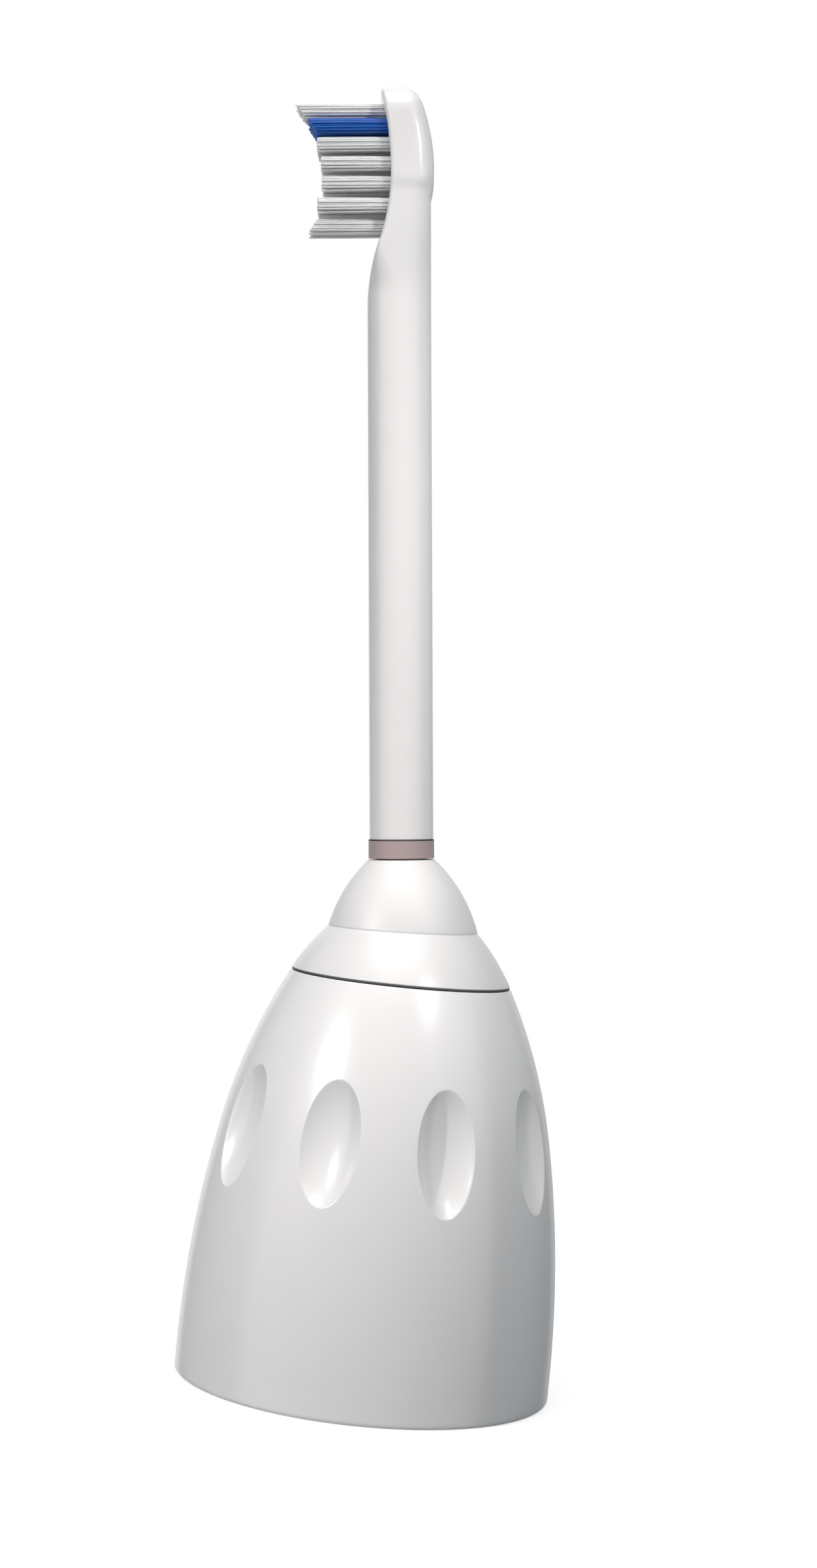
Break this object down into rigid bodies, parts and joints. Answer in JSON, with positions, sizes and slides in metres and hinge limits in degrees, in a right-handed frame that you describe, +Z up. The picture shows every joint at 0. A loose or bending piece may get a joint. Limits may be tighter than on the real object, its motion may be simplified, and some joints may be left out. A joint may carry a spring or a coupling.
{
  "type": "electric toothbrush head",
  "caption": "Screw-on sonic toothbrush head: bell-shaped grip nut with oval dimples, leaning round neck with a coloured ring, and a small head of trimmed tufts on a sprung magnet drive.",
  "frame": {"origin": "centre of the grip nut's bottom rim, on the axis of its thread", "axes": "+Z up the nut's axis towards the head, bristles towards -X, Y across the arm"},
  "size_m": [0.0303, 0.03, 0.1034],
  "materials": {
    "nut_white": "glossy moulded plastic",
    "cup_white": "fine satin moulded plastic",
    "collar_white": "glossy moulded plastic",
    "washer_grey": "smooth low-friction plastic",
    "boot_white": "soft satin elastomer",
    "ring_mauve": "satin moulded plastic",
    "arm_white": "glossy moulded plastic",
    "tuft_white": "clear to white nylon filament",
    "tuft_blue": "blue nylon filament",
    "anchor_brass": "bare strip",
    "hub_grey": "glass-filled plastic",
    "pin_steel": "drawn spring wire",
    "spring_steel": "rolled spring strip",
    "iron_steel": "zinc-plated sheet",
    "magnet_nickel": "nickel plated"
  },
  "bodies": {
    "core": {"mounting_cup": "cup_white", "collar_cap": "collar_white", "thrust_washer": "washer_grey", "seal_boot": "boot_white", "hub_carrier": "hub_grey", "torsion_pin": "pin_steel", "v_spring": "spring_steel"},
    "nut": {"grip_nut": "nut_white"},
    "brush": {"brush_arm": "arm_white", "id_ring": "ring_mauve", "drive_yoke": "hub_grey", "back_iron": "iron_steel", "magnet_left": "magnet_nickel", "magnet_right": "magnet_nickel", "tuft_anchors": "anchor_brass", "tuft_row_1": "tuft_white", "tuft_row_2": "tuft_blue", "tuft_row_3": "tuft_white", "tuft_row_4": "tuft_white", "tuft_row_5": "tuft_white", "tuft_row_6": "tuft_white", "tuft_row_7": "tuft_white"}
  },
  "joints": [
    {"name": "nut_turn", "type": "hinge", "parent": "core", "child": "nut", "pos_m": [0, 0, 0.0164], "axis": [0, 0, 1], "continuous": true},
    {"name": "brush_sweep", "type": "hinge", "parent": "core", "child": "brush", "pos_m": [0, 0, 0.0255], "axis": [0, 0, 1], "range_deg": [-5.5, 5.5], "stiffness_Nm_per_rad": 0.02}
  ]
}
